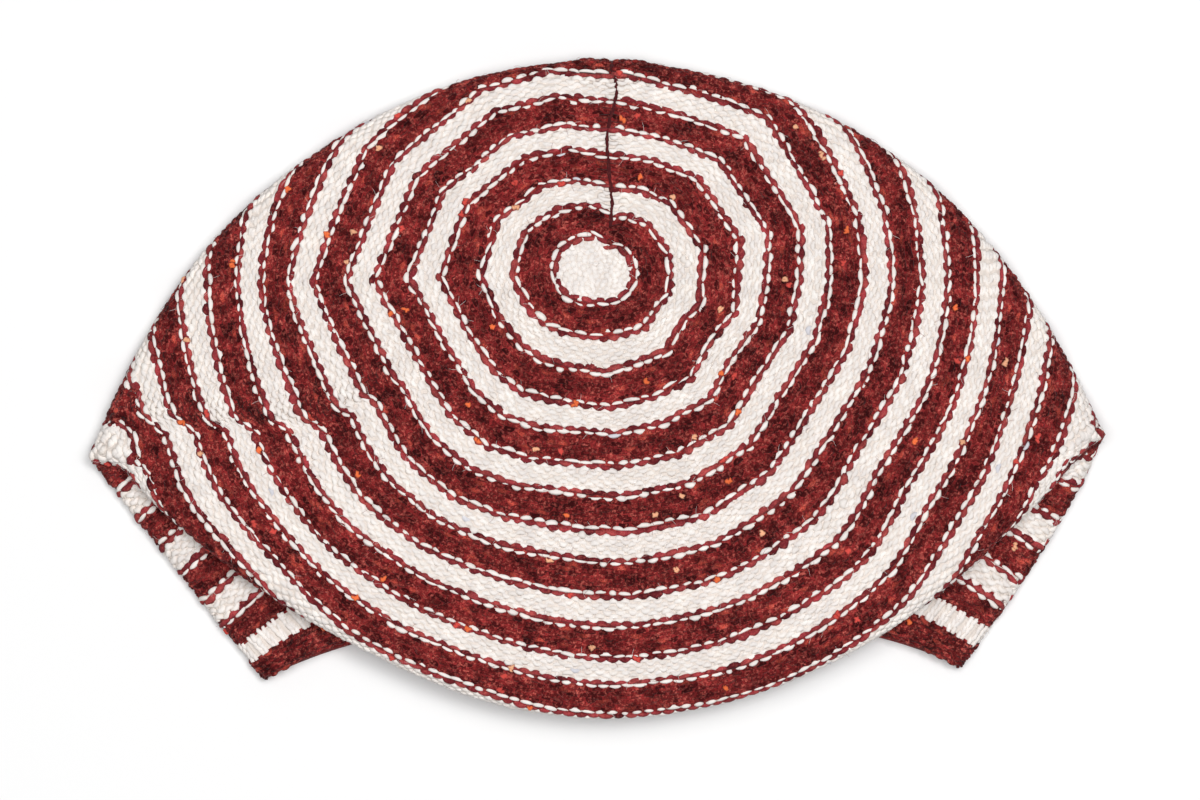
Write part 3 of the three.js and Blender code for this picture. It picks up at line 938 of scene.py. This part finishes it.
def close_ends(piece):
    """The small hole in the middle of each of the crown's faces is filled."""
    bpy.ops.object.select_all(action="DESELECT")
    bpy.context.view_layer.objects.active = piece
    piece.select_set(True)
    bpy.ops.object.mode_set(mode="EDIT")
    bpy.ops.mesh.select_mode(type="EDGE")
    bpy.ops.mesh.select_all(action="DESELECT")
    bpy.ops.mesh.select_non_manifold(extend=False, use_boundary=True, use_wire=False,
                                     use_multi_face=False, use_non_contiguous=False, use_verts=False)
    bpy.ops.mesh.edge_face_add()
    bpy.ops.mesh.select_all(action="DESELECT")
    bpy.ops.object.mode_set(mode="OBJECT")
    piece.select_set(False)


def stitch_shape():
    """One stitch, modelled as a bead along X: its points and triangles."""
    bpy.ops.object.select_all(action="DESELECT")
    bpy.ops.mesh.primitive_uv_sphere_add(segments=5, ring_count=6, radius=1.0)
    bead = bpy.context.active_object
    bpy.ops.object.mode_set(mode="EDIT")
    bpy.ops.mesh.select_all(action="SELECT")
    bpy.ops.transform.rotate(value=math.pi / 2, orient_axis="Y", center_override=(0, 0, 0))
    bpy.ops.mesh.quads_convert_to_tris()
    bpy.ops.mesh.normals_make_consistent(inside=False)
    bpy.ops.object.mode_set(mode="OBJECT")
    points = np.array([vertex.co for vertex in bead.data.vertices])
    faces = np.array([list(polygon.vertices) for polygon in bead.data.polygons])
    bpy.data.objects.remove(bead)
    ring = np.hypot(points[:, 1], points[:, 2])
    fuller = np.where(ring > 1e-6, np.maximum(ring, 1e-6) ** -0.35, 0)
    points[:, 1] *= fuller
    points[:, 2] *= fuller
    return points, faces


LEANEST, FULLEST = 0.85, 1.5  # limits on how full stitches are drawn
BUMP_DEPTH = 0.7  # a stitch's middle lies this far inside the wall's outer face
DIVE = 0.38  # its ends lie this much lower
FLATNESS = 0.9  # its height as a share of its breadth
ABOVE_TABLE = 0.02  # lower yarn is pressed flat
# For each kind of stitch in turn, in ivory and in burgundy: half its length as a share of its
# width, radius, and bow
STITCH_SIZES = np.array([
    [(0.455, 1.0, 0.75), (0.475, 0.96, 0.75)],
    [(0.51, 0.77, 0.28), (0.62, 1.04, 0.30)],
    [(0.46, 1.1, 0.0), (0.46, 1.1, 0.0)],
    [(0.52, 1.0, 0.7), (0.52, 1.0, 0.7)],
    [(0.36, 1.2, 0.3), (0.36, 1.2, 0.3)],
])
KIND_LIFT = np.array([0, 0.12, 0, 0.5, -0.35])  # height of each kind against plain stitches
LAST_ROW_LIFT = -0.9
LAST_ROW_SLIP = 0.5
# How uneven the knitting is: stitches at a change of yarn against others, and the spread of turn,
# height, slip across and along the row, length and radius
UNEVEN_IVORY, UNEVEN_BURGUNDY = 2.8, 1.6
TURN_SPREAD = 6.0
LIFT_SPREAD = 0.08
SLIP_SPREAD = 0.1
SHIFT_SPREAD = 0.13
HALF_SPREAD = 0.06
THICK_SPREAD = 0.07
THICK_RANGE = (0.65, 1.45)
SLUBS = 0.02  # share of thick stitches, and how much thicker they are
SLUB = 1.3

BURGUNDY_YARNS = [  # share of the stitches, colour, and share of odd fibres in it
    (0.45, (0.170, 0.0152, 0.0156), 1.0), (0.22, (0.105, 0.0086, 0.0098), 1.0),
    (0.20, (0.246, 0.0256, 0.0245), 1.0), (0.060, (0.400, 0.056, 0.040), 0.9),
    (0.070, (0.062, 0.005, 0.006), 0.7),
]
IVORY_YARNS = [
    (0.60, (0.772, 0.727, 0.70), 0.12), (0.25, (0.80, 0.763, 0.738), 0.12),
    (0.147, (0.76, 0.712, 0.676), 0.12), (0.003, (0.60, 0.60, 0.65), 0.12),
]
FLECK_YARNS = [
    (0.45, (0.80, 0.165, 0.055), 0.06), (0.2, (0.80, 0.410, 0.240), 0.06),
    (0.35, (0.62, 0.075, 0.060), 0.06),
]
# Painted shade: what is left of the yarn's colour low on a stitch, on its sides and ends
BURGUNDY_PAINTED_SHADE = (0.62, 0.52, 0.54)
IVORY_PAINTED_SHADE = (0.935, 0.90, 0.855)
# Painted light on the thin burgundy lines at a change of yarn, which keeps them out of the shade beside the
# dashes and makes them pinker: what it does to their colour and odd fibres, and at most
LINE_PAINTED_LIGHT = np.array([1.75, 2.5, 2.9, 0.6])
PALEST = np.array([0.38, 0.062, 0.062, 1])
# How much stitches of a yarn differ in shade
BURGUNDY_SHADES = 0.25
IVORY_SHADES = 0.035


def pick_yarns(table, count, spread):
    shares = np.array([share for share, _, _ in table])
    colours = np.array([colour for _, colour, _ in table])
    odd = np.array([fibres for _, _, fibres in table])
    chosen = RANDOM.choice(len(table), size=count, p=shares / shares.sum())
    return np.c_[colours[chosen] * RANDOM.uniform(1 - spread, 1 + spread, (count, 1)), odd[chosen]]


LOOK_HEIGHTS = (12, 40)  # degrees above the table
LOOK_TURN = 30
VIEW_START = 0.7  # rays start this far above the cloth


def open_to_view(points, normals, walls):
    """Whether a point on the cloth can be seen from anywhere above the table."""
    trees = [BVHTree.FromObject(wall, bpy.context.evaluated_depsgraph_get()) for wall in walls]
    looks = [Vector((0, 0, 1))]
    for height in np.radians(LOOK_HEIGHTS):
        for turn in np.radians(range(0, 360, LOOK_TURN)):
            flat = math.cos(height)
            looks.append(Vector((flat * math.cos(turn), flat * math.sin(turn), math.sin(height))))
    seen = np.zeros(len(points), bool)
    for n, (point, normal) in enumerate(zip(points, normals)):
        start = Vector((point + normal * VIEW_START) * MM)
        out = Vector(normal)
        for look in looks:
            if look.dot(out) > 0.05 and not any(tree.ray_cast(start, look)[0] for tree in trees):
                seen[n] = True
                break
    return seen


# Swells of the cloth across the seam and across the crease: height, place and width
SEAM_GROOVE = (1.3, 0, 0.8)
SEAM_LIPS = (0.5, 2.6, 1.5)
SEAM_SHOULDERS = (0.9, 8, 5)
CREASE_RIDGE = (0.7, 4.5, 3.5)
CREASE_VALLEY = (0.15, 0, 2)
# Where they begin: groove and shoulders by Y, the crease by its distance to the left, both by height
SEAM_FOOT = (52, 56)
SEAM_HEAD = (98, 104)
SEAM_HEIGHTS = (2, 4)
CREASE_START = (60, 85)
CREASE_HEIGHTS = (8, 11)


def relief(points):
    """How far stitches stand off the even cloth: the seam's groove, and creases in the crown."""
    x, y, z = points.T
    across = np.abs(x - np.interp(y, *SEAM_PLAN))
    groove = swell(across, *SEAM_LIPS) - swell(across, *SEAM_GROOVE)
    lift = groove * smooth(y, *SEAM_FOOT) * smooth(z, *SEAM_HEIGHTS)
    lift += swell(across, *SEAM_SHOULDERS) * smooth(y, *SEAM_HEAD) * smooth(z, *SEAM_HEIGHTS)
    above = y - np.interp(x, *CREASE_PLAN)
    crease = swell(above, *CREASE_RIDGE) - swell(above, *CREASE_VALLEY)
    return lift + crease * smooth(-x, *CREASE_START) * smooth(z, *CREASE_HEIGHTS)


def cloth_stretch(u, v):
    """How much fuller stitches are where their rows lie far apart."""
    step = 1 / ALONG_FINE
    ahead, _ = cloth(u, v + step / 2)
    behind, _ = cloth(u, v - step / 2)
    n = np.minimum((u * ROUND_FINE).astype(int), len(FINE_U) - 1)
    k = np.clip((v * ALONG_FINE).astype(int), 0, len(FINE_V) - 2)
    rows = np.maximum(CHART[n, k + 1] - CHART[n, k], 1e-3)
    return np.linalg.norm(ahead - behind, axis=1) / rows


def place_stitches(lines):
    """Every stitch's place on the cloth, with its size and heading."""
    stitches = lines.joined()
    point, normal = cloth(stitches["u"], stitches["v"])
    count = len(point)
    kind, burgundy = stitches["kind"], stitches["burgundy"].astype(bool)
    sizes = STITCH_SIZES[kind, burgundy.astype(int)]
    tangent = unit(stitches["tangent"] - normal * (stitches["tangent"] * normal).sum(1, keepdims=True))
    down = np.cross(tangent, normal)
    uneven = np.where(kind == CHANGE, np.where(burgundy, UNEVEN_BURGUNDY, UNEVEN_IVORY), 1.0)
    turn = np.radians(stitches["turn"] + RANDOM.normal(0, TURN_SPREAD, count))[:, None]
    stretch = np.clip(cloth_stretch(stitches["u"], stitches["v"]), LEANEST, FULLEST)
    slub = np.where(RANDOM.random(count) < SLUBS, SLUB, 1.0) * stretch
    lift = relief(point) + RANDOM.normal(0, LIFT_SPREAD, count) - BUMP_DEPTH + KIND_LIFT[kind]
    last = stitches["row"] >= ROWS
    lift = np.where(last, LAST_ROW_LIFT, lift)
    slip = RANDOM.normal(0, SLIP_SPREAD, count) * uneven + np.where(last, LAST_ROW_SLIP, 0)
    centre = point + normal * (WALL / 2 + lift)[:, None] + down * slip[:, None]
    stitches.update(
        point=point, normal=normal,
        centre=centre + tangent * RANDOM.normal(0, SHIFT_SPREAD, (count, 1)),
        axis=tangent * np.cos(turn) + down * np.sin(turn),
        half=sizes[:, 0] * stitches["width"] * (1 + uneven * RANDOM.normal(0, HALF_SPREAD, count)),
        thick=sizes[:, 1] * slub * (1 + uneven * RANDOM.normal(0, THICK_SPREAD, count)).clip(*THICK_RANGE),
        bow=sizes[:, 2] * stitches["apex"],
    )
    return stitches


def stitch_piece(name, shape, stitches, material, yarn, painted_shade):
    """Beads of yarn joined to one piece. Their colour is darkened towards their sides and ends: painted
    shade.
    """
    points, faces = shape
    centre, axis, normal = (stitches[part] for part in ("centre", "axis", "normal"))
    half, thick, bow = (stitches[part][:, None] for part in ("half", "thick", "bow"))
    count = len(centre)
    side = np.cross(axis, normal)
    a, b, c = points.T
    across = b * thick - bow * (a**2 - 0.33)
    rise = c * thick * FLATNESS - DIVE * a**2
    placed = (centre[:, None] + axis[:, None] * (a * half)[..., None]
              + side[:, None] * across[..., None] + normal[:, None] * rise[..., None])
    placed[..., 2] = np.maximum(placed[..., 2], ABOVE_TABLE)
    turned = faces[:, ::-1]  # axis, side and normal are a left-handed frame
    joined = turned + (np.arange(count) * len(points))[:, None, None]
    # painted shade in the vertex colours: none on a stitch's crest, full low on its sides and ends
    low = smooth(0.9 - c + 0.4 * a**2, 0, 1.2)[:, None]
    colour = yarn[:, None] * lerp(1, np.array([*painted_shade, 1]), low)
    return mesh_piece(name, placed.reshape(-1, 3), joined.reshape(-1, 3), material,
                      yarn=colour.reshape(-1, 4))


FLECKS = 95
TUFTS = 5  # short beads that make up a fleck
FLECK_LENGTH, FLECK_BREADTH = 0.45, 0.3  # spread of its tufts along and across a stitch
FLECK_HEIGHT = (0.72, 0.92)
TUFT_HALF = (0.65, 1.1)
TUFT_THICK = (0.42, 0.68)
TUFT_BOW = 0.2
FLECK_SHADES = 0.1


def fleck_piece(shape, stitches, seen, material):
    """Bright bits of wool caught in the burgundy yarn."""
    spots = RANDOM.choice(np.flatnonzero(seen & stitches["burgundy"].astype(bool)), FLECKS, replace=False)
    count = FLECKS * TUFTS
    centre, axis, normal = (np.repeat(stitches[part][spots], TUFTS, axis=0)
                            for part in ("centre", "axis", "normal"))
    side = np.cross(axis, normal)
    turn = RANDOM.uniform(0, math.pi, (count, 1))
    along = RANDOM.normal(0, FLECK_LENGTH, (count, 1))
    across = RANDOM.normal(0, FLECK_BREADTH, (count, 1))
    height = RANDOM.uniform(*FLECK_HEIGHT, (count, 1))
    tufts = {
        "centre": centre + axis * along + side * across + normal * height,
        "normal": normal,
        "axis": axis * np.cos(turn) + side * np.sin(turn),
        "half": RANDOM.uniform(*TUFT_HALF, count),
        "thick": RANDOM.uniform(*TUFT_THICK, count),
        "bow": RANDOM.normal(0, TUFT_BOW, count),
    }
    yarn = np.repeat(pick_yarns(FLECK_YARNS, FLECKS, FLECK_SHADES), TUFTS, axis=0)
    return stitch_piece("wool_flecks", shape, tufts, material, yarn, BURGUNDY_PAINTED_SHADE)


STRAND_FIBRES = 0.1  # share of odd fibres in a thin strand


def tube_piece(name, paths, radii, colours, material, sides=3):
    """Thin strands: each path is a row of points, with one radius and colour to a path."""
    count, steps, _ = paths.shape
    run = unit(np.gradient(paths, axis=1))
    lift = np.where(np.abs(run[..., 2:]) < 0.9, np.array([0.0, 0.0, 1.0]), np.array([1.0, 0.0, 0.0]))
    side = unit(np.cross(run, lift))
    over = np.cross(side, run)
    turns = np.arange(sides) * 2 * math.pi / sides
    ring = (side[:, :, None] * np.cos(turns)[:, None] + over[:, :, None] * np.sin(turns)[:, None])
    points = paths[:, :, None] + ring * radii[:, None, None, None]
    ends = paths[:, [0, -1]]
    points = np.concatenate([points.reshape(count, -1, 3), ends], axis=1)
    faces = []
    for r in range(steps - 1):
        for n in range(sides):
            m = (n + 1) % sides
            a, b, c, d = r * sides + n, r * sides + m, (r + 1) * sides + m, (r + 1) * sides + n
            faces += [(a, c, b), (a, d, c)]
    first, last = steps * sides, steps * sides + 1
    for n in range(sides):
        m = (n + 1) % sides
        faces += [(first, n, m), (last, (steps - 1) * sides + m, (steps - 1) * sides + n)]
    faces = np.array(faces)[None] + (np.arange(count) * points.shape[1])[:, None, None]
    colour = np.repeat(np.c_[colours, np.full(count, STRAND_FIBRES)], points.shape[1], axis=0)
    return mesh_piece(name, points.reshape(-1, 3), faces.reshape(-1, 3), material, yarn=colour)


# Near black: painted shade of the gap along the seam, carried by the seam's yarn
SEAM_YARN_PAINTED_SHADE = (0.065, 0.011, 0.013)
SEAM_RADII = np.array([0.42, 0.38])
SEAM_STEPS = 150
SEAM_DEPTH = 0.35  # its middle lies this far inside the wall's outer face
# Size and pace of its waves: up and down, sideways, and of its two strands round each other
SEAM_WAVE = (0.12, 1.7)
SEAM_SWAY = (0.1, 0.6)
SEAM_TWIST = (0.26, 0.37)
SEAM_START = 5.0  # lines of stitches between the seam's lower end and the centre


def seam_piece(seam, material):
    """The yarn that draws the crown's seam together, drawn near black: painted shade of the gap along the
    seam.
    """
    places = np.linspace(SEAM_START, len(seam) - 1, SEAM_STEPS)
    point, normal = cloth(*(np.interp(places, np.arange(len(seam)), seam[:, n]) for n in (0, 1)))
    steps = np.arange(SEAM_STEPS)
    wave, sway, twist = (size * np.sin(steps * pace) for size, pace in (SEAM_WAVE, SEAM_SWAY, SEAM_TWIST))
    path = point + normal * (WALL / 2 - SEAM_DEPTH + wave)[:, None]
    strands = np.stack([path, path])
    strands[:, :, 0] += np.stack([sway + twist, sway - twist])
    strands[:, :, 2] = np.maximum(strands[:, :, 2], ABOVE_TABLE + SEAM_RADII[:, None])
    colours = np.array([SEAM_YARN_PAINTED_SHADE, SEAM_YARN_PAINTED_SHADE])
    return tube_piece("seam_yarn_painted_shade", strands, SEAM_RADII, colours, material, sides=6)


FIBRES = 2600
FIBRE_POINTS = 5
FIBRE_LENGTH = (1.2, 3.6)
FIBRE_CURL = 0.9
FIBRE_ROOT = 0.6  # height above the middle of its stitch
FIBRE_LIFT = (0.15, 0.7)
FIBRE_ARCH = 2.6
FIBRE_RADIUS = (0.03, 0.055)
FIBRE_CLEARANCE = 0.06
BURGUNDY_FIBRE = (0.26, 0.03, 0.035)
IVORY_FIBRE = (0.88, 0.81, 0.77)


def fibre_piece(stitches, seen, material):
    """Loose ends of wool that stand off the knit."""
    chosen = RANDOM.choice(np.flatnonzero(seen), FIBRES)
    normal = stitches["normal"][chosen]
    axis = stitches["axis"][chosen]
    side = np.cross(axis, normal)
    turn = RANDOM.uniform(0, 2 * math.pi, (FIBRES, 1))
    ahead = axis * np.cos(turn) + side * np.sin(turn)
    bend = np.cross(normal, ahead) * RANDOM.normal(0, FIBRE_CURL, (FIBRES, 1))
    size = RANDOM.uniform(*FIBRE_LENGTH, (FIBRES, 1))
    root = stitches["centre"][chosen] + normal * FIBRE_ROOT
    height = RANDOM.uniform(*FIBRE_LIFT, (FIBRES, 1))
    steps = np.linspace(0, 1, FIBRE_POINTS)[None, :, None]
    paths = (root[:, None] + (ahead * size)[:, None] * steps + bend[:, None] * steps**2
             + (normal * height)[:, None] * np.sin(steps * FIBRE_ARCH))
    paths[..., 2] = np.maximum(paths[..., 2], ABOVE_TABLE + FIBRE_CLEARANCE)
    red = stitches["burgundy"][chosen].astype(bool)[:, None]
    colours = np.where(red, BURGUNDY_FIBRE, IVORY_FIBRE)
    return tube_piece("loose_fibres", paths, RANDOM.uniform(*FIBRE_RADIUS, FIBRES), colours, material)


LAST_INNER_ROW = 36  # the knit is joined to an inner and an outer piece of each yarn
BAND_ROWS = 9


def build_beret(materials):
    u = np.arange(SECTIONS * WALL_ROUND) / WALL_ROUND
    stations = np.linspace(0, STATIONS - 1, (STATIONS - 1) * WALL_ALONG + 1)
    step = ROUND_FINE // WALL_ROUND
    crown_end = stations_at(CLOTH_LENGTH - BAND_HEIGHT - SEAT_GAP)[::step]
    band_top = stations_at(CLOTH_LENGTH - BAND_HEIGHT)[::step]
    crown_rows = [np.full(len(u), v) for v in stations[1:] if v < crown_end.min() - 0.05]
    crown = wall_piece("crown_cloth", [*crown_rows, crown_end], materials["cloth"], True, False)
    band_rows = [lerp(band_top, STATIONS - 1, share) for share in np.linspace(0, 1, BAND_ROWS)]
    band = wall_piece("band_cloth", band_rows, materials["cloth"], False, True)
    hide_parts("crown")
    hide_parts("band")

    lines, seam = knit_lines()
    filling_lines(lines)
    rib_lines(lines)
    centre_lines(lines)
    stitches = place_stitches(lines)
    seen = open_to_view(stitches["point"] + stitches["normal"] * WALL / 2, stitches["normal"], [crown, band])
    burgundy = stitches["burgundy"].astype(bool)
    outer = stitches["row"] > LAST_INNER_ROW
    shape = stitch_shape()
    for colour, own, yarns, spread, painted_shade, line_painted_light, palest in (
        ("ivory", ~burgundy, IVORY_YARNS, IVORY_SHADES, IVORY_PAINTED_SHADE, 1.0, 1.0),
        ("burgundy", burgundy, BURGUNDY_YARNS, BURGUNDY_SHADES, BURGUNDY_PAINTED_SHADE, LINE_PAINTED_LIGHT, PALEST),
    ):
        for part, mask in (("inner", ~outer), ("outer", outer)):
            chosen = np.flatnonzero(own & mask & seen)
            picked = {name: values[chosen] for name, values in stitches.items()}
            yarn = pick_yarns(yarns, len(chosen), spread)
            change = picked["kind"] == CHANGE
            # painted light: the thin burgundy lines at a change of yarn are drawn paler and pinker
            yarn[change] = np.minimum(yarn[change] * line_painted_light, palest)
            piece = stitch_piece(f"{colour}_knit_{part}", shape, picked, materials[colour], yarn, painted_shade)
    fleck_piece(shape, stitches, seen, materials["burgundy"])
    seam_piece(seam, materials["burgundy"])
    fibre_piece(stitches, seen, materials["ivory"])


# Studio

FLOOR_SIZE = 8.0
FLOOR_GREY = (0.80, 0.80, 0.80, 1)
SKY_STRENGTH = 0.15
LIGHTS = (  # place, size and power
    ("softbox", (0.15, 0.15, 4.0), 2.9, 174.0),
    ("key", (0.8, 0.6, 3.7), 0.8, 27.0),
)
FRAME_WIDTH = 0.4  # what the photograph's width covers at the beret's height
LENS = 200.0
SENSOR = 36.0
AIM = Vector((1.0 * MM, -3.8 * MM, 12.0 * MM))


def build_studio():
    bpy.ops.object.select_all(action="DESELECT")
    bpy.ops.mesh.primitive_plane_add(size=FLOOR_SIZE)
    floor = bpy.context.active_object
    floor.name = "floor"
    material = bpy.data.materials.new("pale_floor")
    material.use_nodes = True
    shader = material.node_tree.nodes["Principled BSDF"]
    feed(material.node_tree, shader, {"Base Color": FLOOR_GREY, "Roughness": 0.9})
    floor.data.materials.append(material)

    world = bpy.data.worlds.new("studio")
    bpy.context.scene.world = world
    world.use_nodes = True
    background = world.node_tree.nodes["Background"]
    feed(world.node_tree, background, {"Color": (1, 1, 1, 1), "Strength": SKY_STRENGTH})

    for name, place, size, power in LIGHTS:
        light = bpy.data.lights.new(name, "AREA")
        light.size = size
        light.energy = power
        lamp = bpy.data.objects.new(name, light)
        lamp.location = place
        lamp.rotation_euler = (-Vector(place)).to_track_quat("-Z", "Y").to_euler()
        bpy.context.scene.collection.objects.link(lamp)

    camera = bpy.data.cameras.new("camera")
    camera.lens = LENS
    camera.sensor_width = SENSOR
    camera.clip_end = 50
    eye = bpy.data.objects.new("camera", camera)
    eye.location = AIM + Vector((0, 0, FRAME_WIDTH * LENS / SENSOR))
    bpy.context.scene.collection.objects.link(eye)
    bpy.context.scene.camera = eye
    bpy.context.scene.view_settings.view_transform = "Standard"


build_beret(make_materials())
build_studio()
